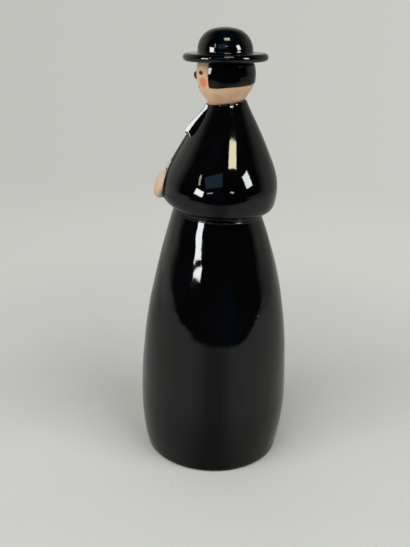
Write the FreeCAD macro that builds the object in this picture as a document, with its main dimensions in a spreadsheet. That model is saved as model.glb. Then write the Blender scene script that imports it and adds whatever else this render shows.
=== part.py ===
import FreeCAD, Part
import math
import os
import re
import Sketcher

# Figural liquor decanter: a standing country priest in glazed ceramic.
# The figure faces -Y, its left side is +X, and the origin is the centre of the foot on the table.
# Lengths are in millimetres and angles in degrees.

SIZES = {
    # Cassock, the lower shell
    "base_radius": 43.2,
    "base_edge": 2.4,
    "foot_ring_width": 9.2,
    "foot_recess_depth": 2.0,
    "floor_thickness": 6.0,
    "floor_corner": 8.0,
    "belly_swell": 4.1,
    "belly_height": 40.0,
    "waist_radius": 27.0,
    "waist_height": 157.0,
    "vessel_wall": 5.0,
    "spigot_step": 3.8,
    "spigot_wall": 3.7,
    "spigot_height": 5.0,
    "lute_gap": 0.1,
    # Cape, the upper shell, with heights above the waist
    "hem_overhang": 1.0,
    "hem_swell": 6.7,
    "hem_groove": 3.2,
    "hem_roll": 6.0,
    "hem_height": 15.0,
    "shoulder_arc": 34.0,
    "shoulder_rise": 16.0,
    "mantle_radius": 22.1,
    "mantle_height": 47.0,
    "mantle_setback": 1.6,
    "collar_lip": 0.7,
    "neck_height": 69.5,
    "neck_setback": 3.0,
    "stopper_setback": 1.5,
    "bore_length": 10.0,
    "collar_height": 66.8,
    "collar_slope": 6.9,
    "chamber_ease": 1.0,
    # Stopper, with heights above the underside of the head
    "seat_height": 65.0,
    "seat_clearance": 0.3,
    "cork_cover": 0.7,
    "head_radius": 16.9,
    "head_equator": 18.0,
    "head_top_radius": 15.7,
    "head_height": 24.6,
    "head_wall": 3.5,
    "head_floor": 4.0,
    "stem_radius": 5.5,
    "stem_bore_radius": 3.0,
    "stem_length": 16.0,
    "stem_clearance": 0.05,
    "cork_radius": 9.0,
    "cork_length": 18.5,
    "cork_chamfer": 1.2,
    "cork_clearance": 0.05,
    "nose_radius": 2.4,
    "nose_height": 16.4,
    "nose_sink": 0.7,
    # Hat, with heights above its brim's underside
    "brim_radius": 24.3,
    "brim_thickness": 4.4,
    "crown_radius": 16.1,
    "crown_side": 11.0,
    "crown_foot": 1.2,
    "hat_height": 18.4,
    "hat_wall": 3.0,
    "plug_wall": 2.6,
    "plug_height": 3.0,
    # Bib bands, measured along the slope of the chest, with reliefs at the neck and at the mantle
    "band_start": 4.6,
    "band_length": 19.0,
    "band_top_width": 6.2,
    "band_bottom_width": 9.4,
    "band_parting": 0.3,
    "band_splay": 11.0,
    "band_root": 8.0,
    "band_top_relief": 1.2,
    "band_bottom_relief": 3.3,
    # Hands, measured from the middle of the hands on the front of the hem
    "hands_height": 17.5,
    "hands_tilt": 22.0,
    "palm_length": 10.0,
    "palm_depth": 5.2,
    "palm_width": 9.4,
    "wrist_length": 8.0,
    "wrist_depth": 4.2,
    "wrist_width": 5.0,
    "finger_length": 7.5,
    "finger_radius": 2.2,
    "finger_pitch": 3.7,
}

doc = FreeCAD.newDocument("figural_decanter")
sheet = doc.addObject("Spreadsheet::Sheet", "sizes")
for row, (alias, size) in enumerate(SIZES.items(), start=1):
    sheet.set(f"A{row}", str(size))
    sheet.setAlias(f"A{row}", alias)
doc.recompute()


def tied(formula):
    """A formula of size names as an expression that reads the sheet."""
    words = r"[a-z][a-z_]*"
    return re.sub(words, lambda word: f"sizes.{word[0]}" if word[0] in SIZES else word[0], formula)


def value(formula):
    """The number that a formula gives with the sheet as it stands."""
    result = sheet.evalExpression(tied(formula))
    return float(getattr(result, "Value", result))


def new_body(label):
    body = doc.addObject("PartDesign::Body", label)
    body.Label = label
    return body


def new_sketch(body, role, name):
    """An empty sketch on one of the body's own origin planes."""
    sketch = body.newObject("Sketcher::SketchObject", name)
    plane = next(feature for feature in body.Origin.OriginFeatures if feature.Role == role)
    sketch.AttachmentSupport = [(plane, "")]
    sketch.MapMode = "FlatFace"
    return sketch


def arc_between(start, end, radius, turn):
    """The short arc from start to end. A turn of 1 runs counter-clockwise and -1 clockwise."""
    chord = end - start
    middle = (start + end) * 0.5
    rise = math.sqrt(max(radius ** 2 - chord.Length ** 2 / 4, 0.0))
    side = FreeCAD.Vector(-chord.y, chord.x, 0) / chord.Length
    centre = middle + side * rise * turn
    first, last = (start, end) if turn > 0 else (end, start)
    from_angle = math.atan2(first.y - centre.y, first.x - centre.x)
    to_angle = math.atan2(last.y - centre.y, last.x - centre.x)
    if to_angle < from_angle:
        to_angle += 2 * math.pi
    circle = Part.Circle(centre, FreeCAD.Vector(0, 0, 1), radius)
    return Part.ArcOfCircle(circle, from_angle, to_angle)


def hold(sketch, geometry, point, axis, formula):
    """Tie one coordinate of a point of the sketch to a formula."""
    if formula == "0":
        line = -2 if axis == "DistanceX" else -1
        sketch.addConstraint(Sketcher.Constraint("PointOnObject", geometry, point, line))
        return
    index = sketch.addConstraint(Sketcher.Constraint(axis, -1, 1, geometry, point, value(formula)))
    sketch.setExpression(f"Constraints[{index}]", tied(formula))


def outline(sketch, corners):
    """A closed outline. A corner is (across, up), or (across, up, radius, turn) before an arc."""
    points = [FreeCAD.Vector(value(corner[0]), value(corner[1]), 0) for corner in corners]
    ends = []
    for index, corner in enumerate(corners):
        start = points[index]
        end = points[(index + 1) % len(points)]
        if len(corner) == 2:
            geometry = sketch.addGeometry(Part.LineSegment(start, end))
            ends.append((geometry, 1, 2))
        else:
            geometry = sketch.addGeometry(arc_between(start, end, value(corner[2]), corner[3]))
            ends.append((geometry, 1, 2) if corner[3] > 0 else (geometry, 2, 1))
    for index, (geometry, _, last) in enumerate(ends):
        after, first, _ = ends[(index + 1) % len(ends)]
        sketch.addConstraint(Sketcher.Constraint("Coincident", geometry, last, after, first))
    for corner, (geometry, first, _) in zip(corners, ends):
        hold(sketch, geometry, first, "DistanceX", corner[0])
        hold(sketch, geometry, first, "DistanceY", corner[1])
        if len(corner) == 4:
            index = sketch.addConstraint(Sketcher.Constraint("Radius", geometry, value(corner[2])))
            sketch.setExpression(f"Constraints[{index}]", tied(corner[2]))


def turned(body, kind, name, role, corners, axis_offset=None):
    """A solid or a cut turned about the upright axis of its sketch."""
    sketch = new_sketch(body, role, f"{name}_sketch")
    if axis_offset:
        sketch.setExpression("AttachmentOffset.Base.x", tied(axis_offset))
    outline(sketch, corners)
    doc.recompute()
    feature = body.newObject(kind, name)
    feature.Profile = sketch
    feature.ReferenceAxis = (sketch, ["V_Axis"])
    feature.Angle = 360
    doc.recompute()
    return feature


def ring(body, name, height, radius, setback):
    """A circle that lies level at a height, as one station of a loft."""
    sketch = new_sketch(body, "XY_Plane", name)
    sketch.setExpression("AttachmentOffset.Base.z", tied(height))
    centre = FreeCAD.Vector(0, value(setback), 0)
    circle = sketch.addGeometry(Part.Circle(centre, FreeCAD.Vector(0, 0, 1), value(radius)))
    hold(sketch, circle, 3, "DistanceX", "0")
    hold(sketch, circle, 3, "DistanceY", setback)
    index = sketch.addConstraint(Sketcher.Constraint("Radius", circle, value(radius)))
    sketch.setExpression(f"Constraints[{index}]", tied(radius))
    return sketch


def bow(run, drop):
    """The radius of an arc that starts upright and falls aside by drop over a height of run."""
    return f"(({run})^2 + ({drop})^2) / (2 * ({drop}))"


def place(thing, base, tilt=None):
    """Tie a piece's place, and its tilt about X, to formulas."""
    if tilt:
        turn = FreeCAD.Rotation(FreeCAD.Vector(1, 0, 0), value(tilt))
        thing.Placement = FreeCAD.Placement(FreeCAD.Vector(), turn)
        thing.setExpression("Placement.Rotation.Angle", tied(tilt))
    for axis, formula in zip("xyz", base):
        if formula != "0":
            thing.setExpression(f"Placement.Base.{axis}", tied(formula))


def cut(label, base, tool):
    piece = doc.addObject("Part::Cut", label)
    piece.Label = label
    piece.Base = base
    piece.Tool = tool
    doc.recompute()
    return piece


def fuse(name, pieces):
    group = doc.addObject("Part::MultiFuse", name)
    group.Shapes = pieces
    doc.recompute()
    return group


# Sizes that rest on other sizes
foot_recess_radius = "(base_radius - foot_ring_width)"
belly_radius = "(base_radius + belly_swell)"
spigot_radius = "(waist_radius - spigot_step)"
throat_radius = "(waist_radius - spigot_step - spigot_wall)"
hem_foot_radius = "(waist_radius + hem_overhang)"
hem_radius = "(waist_radius + hem_overhang + hem_swell)"
head_bottom_radius = "(cork_radius + cork_cover)"
neck_radius = "(cork_radius + cork_cover + collar_lip)"

# Cassock: a pear-shaped shell with a flat floor, a foot ring and a spigot for the cape
floor_top = "foot_recess_depth + floor_thickness"
inner_base_radius = "base_radius - vessel_wall"
inner_side_run = f"belly_height - {floor_top} - floor_corner"
spigot_top = "waist_height + spigot_height"
cassock = new_body("cassock")
turned(cassock, "PartDesign::Revolution", "cassock_shell", "XZ_Plane", [
    ("0", "foot_recess_depth"),
    (foot_recess_radius, "foot_recess_depth"),
    (foot_recess_radius, "0"),
    ("base_radius - base_edge", "0", "base_edge", 1),
    ("base_radius", "base_edge", bow("belly_height - base_edge", "belly_swell"), 1),
    (belly_radius, "belly_height", bow("waist_height - belly_height", f"{belly_radius} - waist_radius"), 1),
    ("waist_radius", "waist_height"),
    (spigot_radius, "waist_height"),
    (spigot_radius, spigot_top),
    (throat_radius, spigot_top),
    (throat_radius, "waist_height",
     bow("waist_height - belly_height", f"{belly_radius} - vessel_wall - {throat_radius}"), -1),
    (f"{belly_radius} - vessel_wall", "belly_height", bow(inner_side_run, "belly_swell"), -1),
    (inner_base_radius, f"{floor_top} + floor_corner", "floor_corner", -1),
    (f"{inner_base_radius} - floor_corner", floor_top),
    ("0", floor_top),
])

# Cape: a rolled hem, full at the elbows, and a mantle that leans back a little up to the neck
hem_foot = "waist_height + hem_groove"
hem_level = "waist_height + hem_height"
hem_out = f"{hem_radius} - {hem_foot_radius}"
hem_up = "hem_height - hem_groove"
hem_arc = f"(({hem_out})^2 + ({hem_up})^2 - 2 * ({hem_up}) * hem_roll) / (2 * ({hem_out} - hem_roll))"
hem_share = f"({hem_arc}) / ({hem_arc} - hem_roll)"
hem_meet_across = f"{hem_radius} - {hem_arc} + ({hem_arc} - ({hem_out})) * {hem_share}"
hem_meet_up = f"{hem_level} + (hem_roll - ({hem_up})) * {hem_share}"
shoulder_level = f"{hem_level} + shoulder_rise"
shoulder_radius = f"{hem_radius} - shoulder_arc + sqrt(shoulder_arc^2 - shoulder_rise^2)"
mantle_level = "waist_height + mantle_height"
neck_level = "waist_height + neck_height"
seat_level = "waist_height + seat_height"
cup_level = f"{seat_level} - seat_clearance"
socket_radius = f"{spigot_radius} + lute_gap"
socket_top = f"{spigot_top} + lute_gap"
bore_radius = "cork_radius + cork_clearance"
bore_foot = f"{cup_level} - bore_length"

cape = new_body("cape")
turned(cape, "PartDesign::Revolution", "hem", "XZ_Plane", [
    ("0", "waist_height"),
    ("waist_radius", "waist_height"),
    ("waist_radius", hem_foot),
    (hem_foot_radius, hem_foot, "hem_roll", 1),
    (hem_meet_across, hem_meet_up, hem_arc, 1),
    (hem_radius, hem_level, "shoulder_arc", 1),
    (shoulder_radius, shoulder_level),
    ("0", shoulder_level),
])
shoulder_ring = ring(cape, "shoulder_ring", shoulder_level, shoulder_radius, "0")
mantle_ring = ring(cape, "mantle_ring", mantle_level, "mantle_radius", "mantle_setback")
neck_ring = ring(cape, "neck_ring", neck_level, neck_radius, "neck_setback")
doc.recompute()
mantle = cape.newObject("PartDesign::AdditiveLoft", "mantle")
mantle.Profile = shoulder_ring
mantle.Sections = [mantle_ring, neck_ring]
doc.recompute()
full_volume = mantle.Shape.Volume

# The hollow of the cape: a socket for the spigot, the chamber under the shoulders, the cone to the bore
chamber_radius = f"{hem_radius} - vessel_wall"
cone_radius = f"{shoulder_radius} - vessel_wall"
turned(cape, "PartDesign::Groove", "chamber", "XZ_Plane", [
    ("0", "waist_height - lute_gap"),
    (socket_radius, "waist_height - lute_gap"),
    (socket_radius, socket_top),
    (throat_radius, socket_top),
    (throat_radius, f"{socket_top} + lute_gap"),
    (chamber_radius, f"{hem_level} + chamber_ease"),
    (f"{cone_radius} - chamber_ease", shoulder_level),
    ("0", shoulder_level),
])
turned(cape, "PartDesign::Groove", "neck_hollow", "YZ_Plane", [
    ("0", f"{shoulder_level} - chamber_ease"),
    (f"{cone_radius} - vessel_wall / 2", f"{shoulder_level} - chamber_ease"),
    (f"{bore_radius} + vessel_wall", f"{bore_foot} - vessel_wall"),
    (bore_radius, bore_foot),
    (bore_radius, neck_level),
    ("0", neck_level),
], axis_offset="stopper_setback")

# The cup in the collar takes the round underside of the head, and the rim of the collar slopes to the front
head_arc = bow("head_equator", f"head_radius - {head_bottom_radius}")
cup_arc = f"{head_arc} + seat_clearance"
cup_centre = f"head_radius - {head_arc}"
cup_foot_radius = f"{cup_centre} + sqrt(({cup_arc})^2 - (head_equator + seat_clearance)^2)"
cup_rim_rise = f"{neck_level} - ({seat_level})"
cup_rim_radius = f"{cup_centre} + sqrt(({cup_arc})^2 - (head_equator - ({cup_rim_rise}))^2)"
turned(cape, "PartDesign::Groove", "seat_cup", "YZ_Plane", [
    ("0", cup_level),
    (cup_foot_radius, cup_level, cup_arc, 1),
    (cup_rim_radius, neck_level),
    ("0", neck_level),
], axis_offset="stopper_setback")
collar_level = "waist_height + collar_height"
reach = f"2 * {neck_radius}"
collar_sketch = new_sketch(cape, "YZ_Plane", "collar_slope_sketch")
outline(collar_sketch, [
    (f"stopper_setback - {reach}", f"{collar_level} - {reach} * tan(collar_slope)"),
    (f"stopper_setback + {reach}", f"{collar_level} + {reach} * tan(collar_slope)"),
    (f"stopper_setback + {reach}", f"{collar_level} + 2 * {reach}"),
    (f"stopper_setback - {reach}", f"{collar_level} + 2 * {reach}"),
])
doc.recompute()
collar_rim = cape.newObject("PartDesign::Pocket", "collar_rim")
collar_rim.Profile = collar_sketch
collar_rim.SideType = "Symmetric"
collar_rim.setExpression("Length", tied(f"2 * {reach}"))
doc.recompute()
if not collar_rim.Shape.Volume < full_volume:
    raise RuntimeError("the hollow of the cape is missing")

# Head: a hollow shell turned about the neck's axis, with a stem below and an open top under the hat
head = new_body("head")
place(head, ("0", "stopper_setback", seat_level))
head_crown_arc = bow("head_height - head_equator", "head_radius - head_top_radius")
inner_equator = "head_radius - head_wall"
inner_top = "head_top_radius - head_wall"
inner_bottom = f"{head_bottom_radius} - head_wall / 2"
inner_low_arc = bow("head_equator - head_floor", f"{inner_equator} - ({inner_bottom})")
inner_high_arc = bow("head_height - head_equator", f"{inner_equator} - ({inner_top})")
head_shell = turned(head, "PartDesign::Revolution", "head_shell", "XZ_Plane", [
    ("stem_bore_radius", "-stem_length"),
    ("stem_radius", "-stem_length"),
    ("stem_radius", "0"),
    (head_bottom_radius, "0", head_arc, 1),
    ("head_radius", "head_equator", head_crown_arc, 1),
    ("head_top_radius", "head_height"),
    (inner_top, "head_height", inner_high_arc, -1),
    (inner_equator, "head_equator", inner_low_arc, -1),
    (inner_bottom, "head_floor"),
    ("stem_bore_radius", "head_floor"),
])

# Cork: a sleeve with a closed end, on the stem and in the bore of the neck
stopper_cork = new_body("stopper_cork")
place(stopper_cork, ("0", "stopper_setback", seat_level))
turned(stopper_cork, "PartDesign::Revolution", "cork_sleeve", "XZ_Plane", [
    ("0", "-cork_length"),
    ("cork_radius - cork_chamfer", "-cork_length"),
    ("cork_radius", "cork_chamfer - cork_length"),
    ("cork_radius", "0"),
    ("stem_radius + stem_clearance", "0"),
    ("stem_radius + stem_clearance", "-stem_length - stem_clearance"),
    ("0", "-stem_length - stem_clearance"),
])

# Nose: a small ball set on the front of the head
nose_ball = doc.addObject("Part::Sphere", "nose_ball")
nose_ball.setExpression("Radius", tied("nose_radius"))
nose_face = f"head_radius - {head_arc} + sqrt(({head_arc})^2 - (head_equator - nose_height)^2)"
place(nose_ball, ("0", f"stopper_setback - ({nose_face}) + nose_sink", f"{seat_level} + nose_height"))
head_core = new_body("head_core")
place(head_core, ("0", "stopper_setback", seat_level))
turned(head_core, "PartDesign::Revolution", "head_core_solid", "XZ_Plane", [
    ("0", "0"),
    (head_bottom_radius, "0", head_arc, 1),
    ("head_radius", "head_equator", head_crown_arc, 1),
    ("head_top_radius", "head_height"),
    ("0", "head_height"),
])
nose = cut("nose", nose_ball, head_core)

# Hat: a round brim and a domed crown in one shell, with a ring that enters the open top of the head
hat = new_body("hat")
place(hat, ("0", "stopper_setback", f"{seat_level} + head_height"))
plug_radius = f"{inner_top} - lute_gap"
plug_bore = f"{plug_radius} - plug_wall"
brim_roll = "brim_thickness / 2"
crown_level = "brim_thickness + crown_foot"
crown_up = f"hat_height - ({crown_level})"
dome_in = "crown_radius - crown_side"
dome_arc = f"(({dome_in})^2 + ({crown_up})^2 - crown_side^2) / (2 * ({crown_up} - crown_side))"
dome_share = f"({dome_arc}) / ({dome_arc} - crown_side)"
dome_meet_across = f"(crown_radius - crown_side) * {dome_share}"
dome_meet_up = f"hat_height - {dome_arc} + ({dome_arc} - ({crown_up})) * {dome_share}"
hollow_rise = f"{crown_up} - hat_wall"
turned(hat, "PartDesign::Revolution", "hat_shell", "XZ_Plane", [
    (plug_bore, "-plug_height"),
    (plug_radius, "-plug_height"),
    (plug_radius, "0"),
    (f"brim_radius - {brim_roll}", "0", brim_roll, 1),
    ("brim_radius", brim_roll, brim_roll, 1),
    (f"brim_radius - {brim_roll}", "brim_thickness"),
    ("crown_radius + crown_foot", "brim_thickness", "crown_foot", -1),
    ("crown_radius", crown_level, "crown_side", 1),
    (dome_meet_across, dome_meet_up, dome_arc, 1),
    ("0", "hat_height"),
    ("0", "hat_height - hat_wall", bow(plug_bore, hollow_rise), -1),
    (plug_bore, crown_level),
])

# Bib: two flaps side by side under the collar that stand out of the chest more towards their ends
chest_run = f"{neck_level} - ({mantle_level})"
chest_drop = f"mantle_radius - mantle_setback - {neck_radius} + neck_setback"
chest_lean = f"atan(({chest_drop}) / ({chest_run}))"


def bib_flap(label, side, turn):
    """One flap of the bib: its outline seen from the front, with a face a little proud of the mantle."""
    cover = new_body(f"{side}_band_cover")
    foot = ring(cover, f"{side}_cover_foot", shoulder_level, f"{shoulder_radius} + band_bottom_relief", "0")
    chest_radius = "mantle_radius + band_bottom_relief"
    chest = ring(cover, f"{side}_cover_mantle", mantle_level, chest_radius, "mantle_setback")
    top = ring(cover, f"{side}_cover_neck", neck_level, f"{neck_radius} + band_top_relief", "neck_setback")
    doc.recompute()
    skin = cover.newObject("PartDesign::AdditiveLoft", f"{side}_cover_skin")
    skin.Profile = foot
    skin.Sections = [chest, top]
    doc.recompute()
    shell = cut(f"{side}_band_shell", cover, mantle)
    blank = new_body(f"{side}_band_blank")
    sketch = new_sketch(blank, "XZ_Plane", f"{side}_band_sketch")
    splay = FreeCAD.Rotation(FreeCAD.Vector(0, turn, 0), value("band_splay"))
    sketch.AttachmentOffset = FreeCAD.Placement(FreeCAD.Vector(), splay)
    sketch.setExpression("AttachmentOffset.Rotation.Angle", tied("band_splay"))
    outline(sketch, [
        (f"{turn} * band_parting", "-band_start"),
        (f"{turn} * band_parting", "-band_start - band_length"),
        (f"{turn} * (band_parting + band_bottom_width)", "-band_start - band_length"),
        (f"{turn} * (band_parting + band_top_width)", "-band_start"),
    ])
    doc.recompute()
    flap = blank.newObject("PartDesign::Pad", f"{side}_flap")
    flap.Profile = sketch
    flap.SideType = "Symmetric"
    flap.setExpression("Length", tied("2 * band_root"))
    place(blank, ("0", f"neck_setback - {neck_radius}", neck_level), f"-({chest_lean})")
    doc.recompute()
    form = doc.addObject("Part::MultiCommon", label)
    form.Label = label
    form.Shapes = [shell, blank]
    doc.recompute()
    return form


right_band = bib_flap("right_band", "right", -1)
left_band = bib_flap("left_band", "left", 1)

# Hands: the left lies low over the belly, and the right shows behind and above it
hands_level = "waist_height + hands_height"


def egg(name, along, out, up, length, depth, width):
    """An egg-shaped piece, placed from the middle of the hands along X, out of the belly and up."""
    form = doc.addObject("Part::Ellipsoid", name)
    form.setExpression("Radius1", tied(width))
    form.setExpression("Radius2", tied(length))
    form.setExpression("Radius3", tied(depth))
    place(form, (
        along,
        f"-{hem_radius} - ({out}) * cos(hands_tilt) + ({up}) * sin(hands_tilt)",
        f"{hands_level} + ({out}) * sin(hands_tilt) + ({up}) * cos(hands_tilt)",
    ), "-hands_tilt")
    return form


left_forms = [
    egg("left_palm", "palm_length / 10", "0", "0", "palm_length", "palm_depth", "palm_width"),
]
for count in range(4):
    left_forms.append(egg(
        f"left_finger_{count}",
        "-palm_length * 0.7",
        "palm_depth - 1.7 * finger_radius",
        f"finger_pitch * {1.4 - count}",
        "finger_length", "finger_radius", "finger_radius",
    ))
doc.recompute()
left_hand = cut("left_hand", fuse("left_hand_form", left_forms), mantle)

right_forms = [
    egg(
        "right_palm",
        "-wrist_length * 0.6",
        "0",
        "palm_width",
        "wrist_length", "wrist_depth", "wrist_width",
    ),
    egg(
        "right_thumb",
        "wrist_length * 0.2",
        "wrist_depth - 1.5 * finger_radius",
        "palm_width + finger_radius",
        "finger_length", "finger_radius", "finger_radius",
    ),
]
doc.recompute()
right_seated = cut("right_hand_seat", fuse("right_hand_form", right_forms), mantle)
right_hand = cut("right_hand", right_seated, left_hand)

# Check every object and write one file for each piece
NODES = [
    "cassock", "cape", "left_band", "right_band", "left_hand", "right_hand",
    "stopper_cork", "head", "nose", "hat",
]
doc.recompute()
for thing in doc.Objects:
    if "Invalid" in thing.State or "Error" in thing.State:
        raise RuntimeError(f"{thing.Label} failed to build")
pieces = {label: doc.getObjectsByLabel(label)[0] for label in NODES}
for label, piece in pieces.items():
    if piece.Shape.isNull() or not piece.Shape.isValid():
        raise RuntimeError(f"{label} has no valid shape")
    if len(piece.Shape.Solids) != 1:
        raise RuntimeError(f"{label} is not one solid")
os.makedirs("parts", exist_ok=True)
for label, piece in pieces.items():
    piece.Shape.exportStep(os.path.join("parts", f"{label}.step"))
    print(label, round(piece.Shape.Volume), "cubic millimetres")
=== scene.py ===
import math

import bmesh
import bpy
import numpy as np
from mathutils import Matrix, Quaternion, Vector


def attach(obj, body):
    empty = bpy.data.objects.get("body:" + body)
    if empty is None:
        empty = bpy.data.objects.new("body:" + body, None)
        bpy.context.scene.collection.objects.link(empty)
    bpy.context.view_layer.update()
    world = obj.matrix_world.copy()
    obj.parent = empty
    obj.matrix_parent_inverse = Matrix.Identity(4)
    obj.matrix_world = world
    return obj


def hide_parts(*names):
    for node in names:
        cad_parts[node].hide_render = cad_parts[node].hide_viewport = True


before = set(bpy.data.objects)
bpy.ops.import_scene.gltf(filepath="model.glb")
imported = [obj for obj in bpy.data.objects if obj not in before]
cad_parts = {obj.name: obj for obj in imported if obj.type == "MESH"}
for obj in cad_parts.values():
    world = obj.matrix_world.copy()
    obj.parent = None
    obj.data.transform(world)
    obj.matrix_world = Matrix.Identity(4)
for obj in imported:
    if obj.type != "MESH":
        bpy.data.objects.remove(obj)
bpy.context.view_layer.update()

# Shapes are in millimetres until they become meshes. Materials and lights are in metres
MM = 0.001

# Heights above the table
BELLY = 40
WAIST = 157
SPIGOT_TOP = 162
HEM_TOP = 164.8
CUP_FLOOR = 221.7
SEAT = 222
COLLAR = 223.8
HEAD_MIDDLE = 240
BRIM = 246.6
TOP = 265

# Distances from the axis, the wall's thickness, and the neck's axis behind the foot's centre
FOOT_RADIUS = 43.2
BELLY_RADIUS = 47.3
WAIST_RADIUS = 27.0
SPIGOT_RADIUS = 23.2
THROAT_RADIUS = 19.5
HEAD_RADIUS = 16.9
WALL = 5
NECK_AXIS = 1.5


# Curves
def smooth(low, high, x):
    """A soft step from 0 at low to 1 at high."""
    t = np.clip((np.asarray(x, float) - low) / (high - low), 0, 1)
    return t * t * (3 - 2 * t)


def band(start, full, fade, end, x):
    """A soft rise from start to full, and a soft fall from fade to end."""
    return smooth(start, full, x) * (1 - smooth(fade, end, x))


def spline(at, heights, x):
    """A natural cubic curve through (at, heights), read at x."""
    at, heights = np.asarray(at, float), np.asarray(heights, float)
    n = len(at)
    step = np.diff(at)
    matrix, right = np.eye(n), np.zeros(n)
    for k in range(1, n - 1):
        matrix[k, k - 1:k + 2] = step[k - 1], 2 * (step[k - 1] + step[k]), step[k]
        right[k] = 6 * ((heights[k + 1] - heights[k]) / step[k] - (heights[k] - heights[k - 1]) / step[k - 1])
    bend = np.linalg.solve(matrix, right)
    x = np.asarray(x, float)
    k = np.clip(np.searchsorted(at, x) - 1, 0, n - 2)
    h = step[k]
    a, b = (at[k + 1] - x) / h, (x - at[k]) / h
    curve = ((a ** 3 - a) * bend[k] + (b ** 3 - b) * bend[k + 1]) * h * h / 6
    return a * heights[k] + b * heights[k + 1] + curve


def ripple(points, length, seed, count=14):
    """Gentle unevenness of a hand-finished surface, about -1 to 1, with swells about a length apart."""
    rng = np.random.default_rng(seed)
    ways = rng.normal(size=(count, 3))
    ways /= np.linalg.norm(ways, axis=1)[:, None]
    ways *= (2 * math.pi / (length * rng.uniform(0.7, 1.7, count)))[:, None]
    phases = rng.uniform(0, 2 * math.pi, count)
    return np.sin(points @ ways.T + phases).sum(-1) / math.sqrt(count)


def bow(run, drop):
    """The radius of an arc that starts upright and falls aside by drop over a height of run."""
    return (run ** 2 + drop ** 2) / (2 * drop)


def arc(start, end, radius, turn, step):
    """Points after start along the short arc to end. A turn of 1 runs counter-clockwise."""
    start, end = np.asarray(start, float), np.asarray(end, float)
    chord = end - start
    length = math.hypot(*chord)
    rise = math.sqrt(max(radius ** 2 - length ** 2 / 4, 0))
    centre = (start + end) / 2 + np.array([-chord[1], chord[0]]) / length * rise * turn
    first = math.atan2(*(start - centre)[::-1])
    sweep = (math.atan2(*(end - centre)[::-1]) - first) * turn % (2 * math.pi) * turn
    count = max(3, math.ceil(radius * abs(sweep) / step))
    angles = first + sweep * np.arange(1, count + 1) / count
    return centre + radius * np.stack([np.cos(angles), np.sin(angles)], 1)


def outline(corners, step):
    """Points along (across, up) corners. A corner may add the radius and turn of the arc after it."""
    points = [np.array([corners[0][:2]], float)]
    for here, after in zip(corners, corners[1:]):
        if len(here) == 4:
            points.append(arc(here[:2], after[:2], here[2], here[3], step))
        else:
            count = max(1, math.ceil(math.dist(here[:2], after[:2]) / step))
            share = np.arange(1, count + 1)[:, None] / count
            points.append(np.array(here[:2]) * (1 - share) + np.array(after[:2]) * share)
    return np.concatenate(points)


def even_angles(count):
    return np.arange(count) * 2 * math.pi / count


def outward(angles):
    """Level directions away from an upright axis. Angle 0 points to the front."""
    return np.stack([np.sin(angles), -np.cos(angles), 0 * angles], -1)


def turned_rows(profile, angles, centre=0.0):
    """Rows of points for a profile turned about an upright axis at Y = centre."""
    across, up = profile[:, 0, None], profile[:, 1, None]
    return np.stack([across * np.sin(angles), centre - across * np.cos(angles), up + 0 * angles], -1)


# Meshes
def add_masks(mesh, masks):
    """Give the points of a mesh values that its material reads."""
    for name, values in masks.items():
        layer = mesh.attributes.new(name, "FLOAT", "POINT")
        layer.data.foreach_set("value", np.asarray(values, np.float32))


def grid_mesh(name, rows, masks=None):
    """A mesh of closed rows of points. A row whose points coincide becomes one point."""
    rows = np.asarray(rows, float)
    count = rows.shape[1]
    points, index, keep = [], [], []
    for k, row in enumerate(rows):
        if np.ptp(row, axis=0).max() < 1e-6:
            index.append(np.full(count, len(points)))
            points.append(row[0])
            keep.append(k * count)
        else:
            index.append(np.arange(len(points), len(points) + count))
            points.extend(row)
            keep.extend(range(k * count, (k + 1) * count))
    faces = []
    for low, high in zip(index, index[1:]):
        for k in range(count):
            m = (k + 1) % count
            face = list(dict.fromkeys((low[k], low[m], high[m], high[k])))
            if len(face) > 2:
                faces.append([int(v) for v in face])
    mesh = bpy.data.meshes.new(name)
    mesh.from_pydata(np.array(points) * MM, [], faces)
    add_masks(mesh, {key: values.ravel()[keep] for key, values in (masks or {}).items()})
    return mesh


def finish_mesh(name, mesh, body, nodes, materials, sharp=35):
    """Make an object of a mesh, dress it and let it ride on its body. Edges past sharp degrees are hard."""
    work = bmesh.new()
    work.from_mesh(mesh)
    bmesh.ops.recalc_face_normals(work, faces=work.faces)
    work.to_mesh(mesh)
    work.free()
    mesh.shade_smooth()
    mesh.set_sharp_from_angle(angle=math.radians(sharp))
    piece = bpy.data.objects.new(name, mesh)
    bpy.context.scene.collection.objects.link(piece)
    for material in materials:
        mesh.materials.append(material)
    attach(piece, body)
    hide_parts(*nodes)
    return piece


def build_shell(name, rows, body, nodes, material, masks=None):
    """A piece of one material, made of rows of points."""
    return finish_mesh(name, grid_mesh(name, rows, masks), body, nodes, [material])


# Shader nodes
def node(tree, kind, inputs=None, **settings):
    """A shader node with its settings, and its inputs linked or set."""
    made = tree.nodes.new(kind)
    for key, setting in settings.items():
        setattr(made, key, setting)
    for key, given in (inputs or {}).items():
        if isinstance(given, bpy.types.NodeSocket):
            tree.links.new(given, made.inputs[key])
        else:
            made.inputs[key].default_value = given
    return made


def noise(tree, place, scale, detail=3.0, roughness=0.55, stretch=None):
    """Cloudy values with about scale swells in a metre."""
    if stretch:
        place = node(tree, "ShaderNodeMapping", {"Vector": place, "Scale": stretch}).outputs[0]
    inputs = {"Vector": place, "Scale": scale, "Detail": detail, "Roughness": roughness}
    return node(tree, "ShaderNodeTexNoise", inputs).outputs["Fac"]


def spread(tree, factor, low, high, to_low, to_high):
    """A straight run from to_low, where the factor is low or less, to to_high, where it is high or more."""
    inputs = {"Value": factor, "From Min": low, "From Max": high, "To Min": to_low, "To Max": to_high}
    return node(tree, "ShaderNodeMapRange", inputs).outputs["Result"]


def math_node(tree, operation, *values):
    return node(tree, "ShaderNodeMath", dict(enumerate(values)), operation=operation).outputs[0]


def product(tree, first, *others):
    for factor in others:
        first = math_node(tree, "MULTIPLY", first, factor)
    return first


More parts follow.
